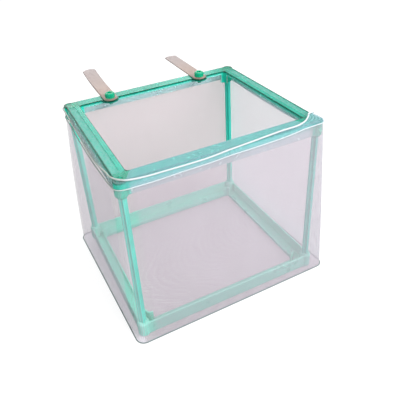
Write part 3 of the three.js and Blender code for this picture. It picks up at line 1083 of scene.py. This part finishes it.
class NetBag:
    """The sewn bag: walls, floor, hem, elastic cord and the seam round its foot."""

    def __init__(self, sizes: BagSizes, course: HemCourse) -> None:
        """Lays out the turns round the ring and the hem at each of them.

        Args:
            sizes: Sizes of the bag.
            course: Where its hem runs.
        """
        self.sizes = sizes
        self.course = course
        self.turn = np.arange(sizes.columns) * CORNERS / sizes.columns
        self.point, self.normal = course.loop().frame_at(self.turn)
        steps = np.linalg.norm(np.roll(self.point, -1, axis=0) - self.point, axis=-1)
        self.lengths = np.concatenate([[0.0], np.cumsum(steps)])
        self.lap, self.inward = course.lap(self.turn)
        self.folded = ease(np.minimum(1.0, self.lap / course.fold_run))
        self.hem_top = course.rise(self.turn, HemEdge.TOP)
        self.hem_foot = course.rise(self.turn, HemEdge.FOOT)
        self.hem_fold = self.hem_top - course.fold * self.folded + self.folded * sizes.tape
        side = np.where(np.floor(self.turn) % 2 == 0, course.width, course.depth)
        beside = np.abs(self.turn - np.round(self.turn)) * side
        self.clear = ease(np.clip((beside - sizes.socket_reach) / sizes.socket_ease, 0.0, 1.0))
        fall, low, rise, loose = sizes.pulled_turns
        place = np.where(self.turn < loose - CORNERS, self.turn + CORNERS, self.turn)
        # The slack also sets where the cord and the stitching take painted shade, along the left
        # side.
        self.slack = np.interp(place, (fall, low, rise, loose), (1.0, 0.0, 0.0, 1.0))
        self.wall_slack = np.where(self.point[:, 0] < 0.0, self.clear, 1.0)

    def foot(self, outward: float) -> np.ndarray:
        """The bag's foot: a rounded rectangle whose corners are drawn out by their flares.

        Each corner's flare is shared out over the rectangle by how near a point is to it.

        Args:
            outward: How far outside the bag's own foot it lies.

        Returns:
            Points with a last axis of x and y.
        """
        course = self.course
        place = self.out(outward)
        flared = place.copy()
        for (x, y), flare in zip(((-1, -1), (1, -1), (1, 1), (-1, 1)), self.sizes.flares):
            along = 0.5 + x * place[..., 0] / course.width
            back = 0.5 + y * place[..., 1] / course.depth
            flared[..., 0] += along * back * x * flare[0]
            flared[..., 1] += along * back * y * flare[1]
        return flared

    def out(self, outward: np.ndarray | float) -> np.ndarray:
        """Points beside the bag's outline, which clears the ring's sockets, moved outward."""
        return self.point + (self.course.bulge + np.asarray(outward))[..., None] * self.normal

    def walls(self) -> Grid:
        """The four walls as one lofted shell that hangs from the hem and slackens below.

        A point lies between the ring's outline and the foot. Soft folds stand out from it:
        waves along the cloth, strongest half way up and nothing at the hem and the foot.

        Returns:
            A grid that closes across.
        """
        sizes = self.sizes
        above, below = self.out(sizes.wall_out), self.foot(sizes.foot_out)
        rise = np.linspace(0.0, 1.0, sizes.wall_rows)[:, None]
        height = sizes.net + (self.hem_foot + sizes.gap - sizes.net)[None, :] * rise
        place = below[None] + (above - below)[None] * rise[..., None]
        along = self.lengths[:-1][None, :] + 0.0 * rise
        slow = sizes.slow_folds.height(along, rise)
        quick = sizes.quick_folds.height(along, rise)
        swell = np.sin(np.pi * rise) ** sizes.fold_swell
        folds = swell * (sizes.fold_mean + slow + quick)
        place = place + folds[..., None] * self.normal[None]
        chart = chart_of(self.lengths, rise[:, 0] * self.course.top)
        return Grid(raised(place, height), chart, slack=self.wall_slack)

    def floor(self) -> Grid:
        """The floor: the foot's outline drawn in to the middle, with low puckers between.

        Returns:
            A grid that closes across, with a face over its middle.
        """
        sizes = self.sizes
        edge = self.foot(sizes.foot_out)
        share = np.linspace(1.0, sizes.floor_cap, sizes.floor_rows)[:, None]
        place = edge[None] * share[..., None]
        puckers = sizes.floor_puckers.height(place[..., 0], place[..., 1])
        height = sizes.net / 2.0 + np.sin(np.pi * share) * (sizes.floor_mean + puckers)
        chart = np.concatenate([place, place[:, :1]], axis=1)
        return Grid(raised(place, height), chart, capped=True)

    def casing(self) -> Grid:
        """The hem's casing: up the outside of the ring, then in over it where the cord laps.

        Small gathers stand out from it, most in the middle and nothing at either edge. Where it
        laps over the ring it is drawn close round the ring's edge.

        Returns:
            A grid that closes across.
        """
        sizes, course = self.sizes, self.course
        upright = self.hem_top - course.fold
        bend = upright + self.folded * (np.minimum(upright, course.top + sizes.bend_lift) - upright)
        share = np.linspace(0.0, 1.0, sizes.hem_rows)[:, None]
        rising = np.minimum(1.0, share / sizes.upright_share)
        lapping = np.maximum(0.0, (share - sizes.upright_share) / (1.0 - sizes.upright_share))
        height = self.hem_foot[None] + (bend - self.hem_foot)[None] * rising
        height = height + (self.hem_fold - bend)[None] * lapping
        gathers = sizes.gathers.height(self.lengths[:-1][None, :] + 0.0 * share)
        held = sizes.gather_at_socket + (1.0 - sizes.gather_at_socket) * self.clear
        loose = np.sin(np.pi * rising) ** sizes.gather_swell * held[None]
        close = (self.folded * self.clear * course.bulge)[None] * rising
        outward = sizes.casing_out + loose * (sizes.gather_mean + gathers) - close
        place = self.out(outward) + (self.lap * lapping)[..., None] * self.inward[None]
        chart = chart_of(self.lengths, share[:, 0] * course.height)
        return Grid(raised(place, height), chart, slack=self.slack)

    def margin(self) -> Grid:
        """The net's margin beyond the cord, which lies in over the top of the front rail.

        Each column runs from the cord over the rail's outer edge to just short of its inner
        edge, and ripples where it lies on the rail.

        Returns:
            A grid that is open all round.
        """
        sizes, course = self.sizes, self.course
        start, end = sizes.margin_turns
        chosen = (self.turn >= start) & (self.turn <= end)
        middle = (self.turn[chosen] - start) / (end - start)
        drawn = ease(np.clip(np.minimum(middle, 1.0 - middle) / sizes.margin_taper, 0.0, 1.0))
        share = np.linspace(0.0, 1.0, sizes.hem_rows)[:, None]
        point, normal = self.point[chosen], self.normal[chosen]
        cord = self.beside_cord()[chosen]
        cord_out = ((cord - point) * normal).sum(axis=-1)
        reach = np.minimum(cord_out - sizes.margin_least, -sizes.margin * drawn)
        outward = cord_out[None] + (reach - cord_out)[None] * share
        over = course.top + sizes.margin_lift
        rise = np.minimum(self.hem_fold[chosen] + sizes.gap - over, sizes.margin_rise)
        past_edge = np.maximum(cord_out + sizes.margin_edge, sizes.margin_past)
        outside = np.clip((outward + sizes.margin_edge) / past_edge[None], 0.0, 1.0)
        along = self.lengths[:-1][chosen][None, :] + 0.0 * share
        ripples = sizes.margin_mean + sizes.margin_ripples.height(along, outward)
        height = over + rise[None] * ease(outside) + (1.0 - outside) * ripples
        inner = point + reach[:, None] * normal
        place = cord[None] + (inner - cord)[None] * share[..., None]
        chart = np.stack([along, outward], axis=-1)
        slack = np.ones(len(middle))
        return Grid(raised(place, height), chart, closes_across=False, slack=slack)

    def beside_cord(self) -> np.ndarray:
        """The cord's line in plan: outside the ring, or lapped in over it.

        Returns:
            Points with a last axis of x and y.
        """
        sizes = self.sizes
        place = self.out(sizes.gap + sizes.cord_room * (1.0 - self.folded))
        return place + self.lap[:, None] * self.inward

    def cord(self) -> Grid:
        """The elastic cord on the hem's top edge: a tube along the folded edge.

        Returns:
            A grid that closes both ways.
        """
        sizes = self.sizes
        path = raised(self.beside_cord(), self.hem_fold + sizes.gap + sizes.cord)
        return tube(path, sizes.cord, sizes.cord_sides, self.lengths, self.slack)

    def stitching(self) -> Grid:
        """The stitched roll: a tube along the casing's foot.

        Returns:
            A grid that closes both ways.
        """
        sizes = self.sizes
        beside = self.out(sizes.casing_out + sizes.stitch)
        path = raised(beside, self.hem_foot + sizes.stitch)
        return tube(path, sizes.stitch, sizes.stitch_sides, self.lengths, self.slack)

    def seam(self) -> Grid:
        """The sewn edge: a tube where the walls meet the floor.

        Returns:
            A grid that closes both ways.
        """
        sizes = self.sizes
        foot = self.foot(2.0 * sizes.gap + sizes.net + sizes.seam_room)
        path = raised(foot, np.full(len(foot), sizes.seam))
        return tube(path, sizes.seam, sizes.seam_sides, self.lengths, np.ones(len(foot)))


@dataclass(frozen=True)
class PhotoCamera:
    """The camera that took the photograph, fitted to the rings and posts.

    Angles are degrees. The shift is in widths of the picture, and the clip span in metres.
    """

    azimuth: float = -24.132
    elevation: float = 31.217
    roll: float = -3.965
    distance: float = 461.495
    target: tuple[float, float, float] = (22.612, 42.358, 75.775)
    lens: float = 42.09
    sensor: float = 36.0
    shift: Span = (0.02, -0.10)
    clip: Span = (0.01, 20.0)

    def place(self) -> None:
        """Makes the camera, turned towards its target and rolled, as the scene's camera."""
        azimuth, elevation, roll = np.radians([self.azimuth, self.elevation, self.roll])
        level = np.cos(elevation)
        back = Vector((np.sin(azimuth) * level, -np.cos(azimuth) * level, np.sin(elevation)))
        right = Vector((np.cos(azimuth), np.sin(azimuth), 0.0))
        upward = back.cross(right)
        across = right * np.cos(roll) + upward * np.sin(roll)
        top = upward * np.cos(roll) - right * np.sin(roll)
        data = bpy.data.cameras.new("photo_camera")
        data.lens, data.sensor_width = self.lens, self.sensor
        data.shift_x, data.shift_y = self.shift
        data.clip_start, data.clip_end = self.clip
        camera = bpy.data.objects.new("photo_camera", data)
        turned = Matrix((across, top, back)).transposed().to_4x4()
        place = (Vector(self.target) + back * self.distance) * METRES
        camera.matrix_world = Matrix.Translation(place) @ turned
        bpy.context.scene.collection.objects.link(camera)
        bpy.context.scene.camera = camera


@dataclass(frozen=True)
class Lamp:
    """One soft square white light that looks at the object. Lengths are metres."""

    name: str
    place: tuple[float, float, float]
    power: float
    size: float
    target: tuple[float, float, float] = (0.0, 0.0, 0.08)

    def hang(self) -> None:
        """Makes the light."""
        data = bpy.data.lights.new(self.name, "AREA")
        data.energy, data.size = self.power, self.size
        lamp = bpy.data.objects.new(self.name, data)
        aim = Vector(self.target) - Vector(self.place)
        turned = aim.to_track_quat("-Z", "Y").to_matrix().to_4x4()
        lamp.matrix_world = Matrix.Translation(self.place) @ turned
        bpy.context.scene.collection.objects.link(lamp)


@dataclass(frozen=True)
class Studio:
    """Plain pale floor, white backdrop and soft light.

    The world is white to the camera and lights the object with the ambient strength. The floor
    is grey, so that it throws little light up, and glows nearly white to the camera.
    """

    ambient: float = 0.9
    floor_size: float = 6.0
    floor_tone: float = 0.25
    floor_glow: float = 0.78
    lamps: tuple[Lamp, ...] = (
        Lamp("key_light", (0.5, -0.85, 0.8), power=20.0, size=0.8),
        Lamp("back_light", (0.15, 1.0, 0.9), power=4.0, size=0.9),
    )

    def _seen(self, bench: NodeBench) -> bpy.types.NodeSocket:
        """One for rays that the camera sends, also through clear things."""
        path = bench.add("ShaderNodeLightPath").outputs
        return bench.math("MAXIMUM", path["Is Camera Ray"], path["Is Transmission Ray"])

    def set_up(self) -> None:
        """Makes the world, the floor and the lights."""
        world = bpy.data.worlds.new("studio")
        world.use_nodes = True
        bpy.context.scene.world = world
        bench = NodeBench(world.node_tree)
        background = world.node_tree.nodes["Background"]
        background.inputs["Color"].default_value = WHITE
        strength = bench.math("MULTIPLY_ADD", self._seen(bench), 1.0 - self.ambient, self.ambient)
        bench.feed(background.inputs["Strength"], strength)
        for lamp in self.lamps:
            lamp.hang()
        self._lay_floor()
        bpy.context.scene.view_settings.view_transform = "Standard"

    def _lay_floor(self) -> None:
        """A floor that reads as white and keeps the object's shadow."""
        half = self.floor_size / 2.0
        corners = [(-half, -half, 0.0), (half, -half, 0.0), (half, half, 0.0), (-half, half, 0.0)]
        mesh = bpy.data.meshes.new("studio_floor")
        mesh.from_pydata(corners, [], [(0, 1, 2, 3)])
        floor = bpy.data.objects.new("studio_floor", mesh)
        bpy.context.scene.collection.objects.link(floor)
        material, bench, shader = new_material("studio_floor")
        shader.inputs["Base Color"].default_value = paint(*(self.floor_tone,) * 3)
        shader.inputs["Roughness"].default_value = 1.0
        shader.inputs["Specular IOR Level"].default_value = 0.0
        shader.inputs["Emission Color"].default_value = WHITE
        glow = bench.math("MULTIPLY", self._seen(bench), self.floor_glow)
        bench.feed(shader.inputs["Emission Strength"], glow)
        mesh.materials.append(material)


@dataclass(frozen=True)
class CutSizes:
    """Widths and lengths in metres that the sheets were cut to.

    The casing is as long as the ring is round, times its gathering. Its width holds a part
    that is turned under, so its flat area goes by the hem's height instead.
    """

    walls: Span = (0.645, 0.152)
    floor: Span = (0.184, 0.156)
    margin: Span = (0.142, 0.0135)
    casing_width: float = 0.0105
    gathering: float = 1.06


def plastic_finishes() -> tuple[PlasticFinish | StripFinish, ...]:
    """Mixes the finishes of the solid pieces.

    Returns:
        One finish for each kind of moulding, and one for the strips.
    """
    deep_and_rim_shade, low = paint(0.0, 0.12, 0.07), paint(0.3, 0.93, 0.77)
    upper_tint = RingTint(
        frosted=paint(0.26, 0.6, 0.54),
        corner=paint(0.0, 0.4, 0.26),
        socket=paint(0.02, 0.95, 0.74),
        # Painted light shining through the thin walls below the plate.
        skirt_head=paint(0.3, 0.93, 0.83),
        skirt=paint(0.76, 0.95, 0.98),
        rim_shade_share=0.95,
    )
    lower_tint = RingTint(low, low, low, low, low, rim_shade_share=0.5)
    return (
        PlasticFinish(
            "upper_ring",
            plain=paint(0.01, 0.58, 0.43),
            deep_and_rim_shade=deep_and_rim_shade,
            gloss=0.16,
            clearness=0.6,
            shine=0.1,
            ring=upper_tint,
        ),
        PlasticFinish(
            "lower_ring",
            plain=low,
            deep_and_rim_shade=paint(0.12, 0.72, 0.56),
            gloss=0.3,
            clearness=0.2,
            ring=lower_tint,
        ),
        PlasticFinish(
            "post_plastic", plain=paint(0.08, 0.92, 0.75), deep_and_rim_shade=deep_and_rim_shade, gloss=0.3, clearness=0.15
        ),
        PlasticFinish(
            "pin_plastic", plain=paint(0.0, 0.54, 0.29), deep_and_rim_shade=deep_and_rim_shade, gloss=0.2, clearness=0.5
        ),
        StripFinish(
            "strip_plastic",
            plain=paint(0.46, 0.39, 0.38),
            tinted=paint(0.52, 0.39, 0.33),
            gloss=0.38,
            clearness=0.6,
        ),
    )


def cloth_finishes() -> tuple[NetFinish | YarnFinish, ...]:
    """Mixes the finishes of the bag.

    Returns:
        The finishes of its net, of its hem and margin, and of its yarns.
    """
    tape, tape_shade = paint(0.25, 0.47, 0.53), paint(0.23, 0.43, 0.49)
    return (
        NetFinish(
            "net_cloth",
            # Painted light and shade: thread and shade across the front, inside on the inner faces,
            # side on the left wall's outside and the right wall's inside.
            thread=paint(0.45, 0.39, 0.455),
            shade=paint(0.41, 0.355, 0.41),
            inside=paint(0.29, 0.195, 0.23),
            side=paint(0.8, 0.73, 0.84),
            pitch=0.8,
            cover=-0.7,
            veil=0.22,
            pulled=0.55,
        ),
        NetFinish(
            "hem_cloth",
            thread=tape,
            shade=tape_shade,
            inside=tape,
            side=tape,
            pitch=0.8,
            cover=-0.85,
            veil=0.2,
            pulled=0.08,
        ),
        NetFinish(
            "margin_cloth",
            thread=tape,
            shade=tape_shade,
            inside=tape,
            side=tape,
            pitch=0.8,
            cover=-0.8,
            veil=0.12,
        ),
        YarnFinish(
            "elastic_yarn",
            light=paint(0.64, 0.67, 0.7),
            hollow_shade=paint(0.42, 0.45, 0.47),
            turn=0.7,
            slant=0.6,
        ),
        YarnFinish(
            "stitch_yarn",
            light=paint(0.6, 0.66, 0.7),
            hollow_shade=paint(0.4, 0.44, 0.47),
            turn=1.6,
            slant=1.2,
        ),
        YarnFinish(
            "seam_yarn",
            light=paint(0.16, 0.22, 0.22),
            hollow_shade=paint(0.1, 0.14, 0.14),
            turn=1.4,
            slant=1.0,
        ),
    )


@dataclass
class BreedingBox:
    """The whole object: its dressed solid pieces and its cloth."""

    bag: NetBag
    cuts: CutSizes
    effects: SurfaceEffects
    materials: dict[str, bpy.types.Material] = field(default_factory=dict)

    def mix_finishes(self) -> None:
        """Builds every finish once."""
        for finish in (*plastic_finishes(), *cloth_finishes()):
            self.materials[finish.name] = finish.make(self.effects)

    def dress_solids(self) -> None:
        """Gives each solid piece that stays its finish."""
        finish_of = {"top_frame": "upper_ring", "bottom_frame": "lower_ring"}
        finish_of |= {name: "post_plastic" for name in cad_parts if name.startswith("post_")}
        for side in ("left", "right"):
            finish_of[f"hanger_{side}"] = "strip_plastic"
            finish_of[f"hanger_pin_{side}"] = "pin_plastic"
        for name, finish in finish_of.items():
            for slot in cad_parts[name].material_slots:
                slot.material = self.materials[finish]
            LOG.info("%s: %s", name, finish)

    def sew(
        self, name: str, grid: Grid, finish: str, nodes: tuple[str, ...] = ()
    ) -> bpy.types.Object:
        """Makes one piece of the bag, which rides on the box.

        Args:
            name: The piece's name.
            grid: Its points.
            finish: The name of its material.
            nodes: Solid nodes that it stands for.

        Returns:
            The new piece.
        """
        piece = grid.to_object(name)
        piece.data.materials.append(self.materials[finish])
        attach(piece, "box")
        if nodes:
            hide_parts(*nodes)
        LOG.info("%s: %.4f square metres", name, grid.area())
        return piece

    def make_bag(self) -> None:
        """Sews the bag together."""
        bag, cuts = self.bag, self.cuts
        wall_nodes = ("net_front", "net_right", "net_back", "net_left")
        walls = self.sew("net_walls", bag.walls(), "net_cloth", wall_nodes)
        floor = self.sew("net_floor_sheet", bag.floor(), "net_cloth", ("net_floor",))
        casing = self.sew("hem_casing", bag.casing(), "hem_cloth", ("hem_tape",))
        margin = self.sew("hem_margin", bag.margin(), "margin_cloth")
        self.sew("hem_stitching", bag.stitching(), "stitch_yarn")
        self.sew("elastic", bag.cord(), "elastic_yarn", ("elastic_cord",))
        self.sew("foot_seam", bag.seam(), "seam_yarn", ("floor_seam",))


def main() -> None:
    """Builds and dresses the whole object, its stage, its lights and its camera."""
    logging.basicConfig(level=logging.INFO)
    PhotoCamera().place()
    Studio().set_up()
    effects = SurfaceEffects(WeavePlan(), SkinPlan(), RailPlan())
    box = BreedingBox(NetBag(BagSizes(), HemCourse()), CutSizes(), effects)
    box.mix_finishes()
    box.dress_solids()
    box.make_bag()


if __name__ == "__main__":
    main()
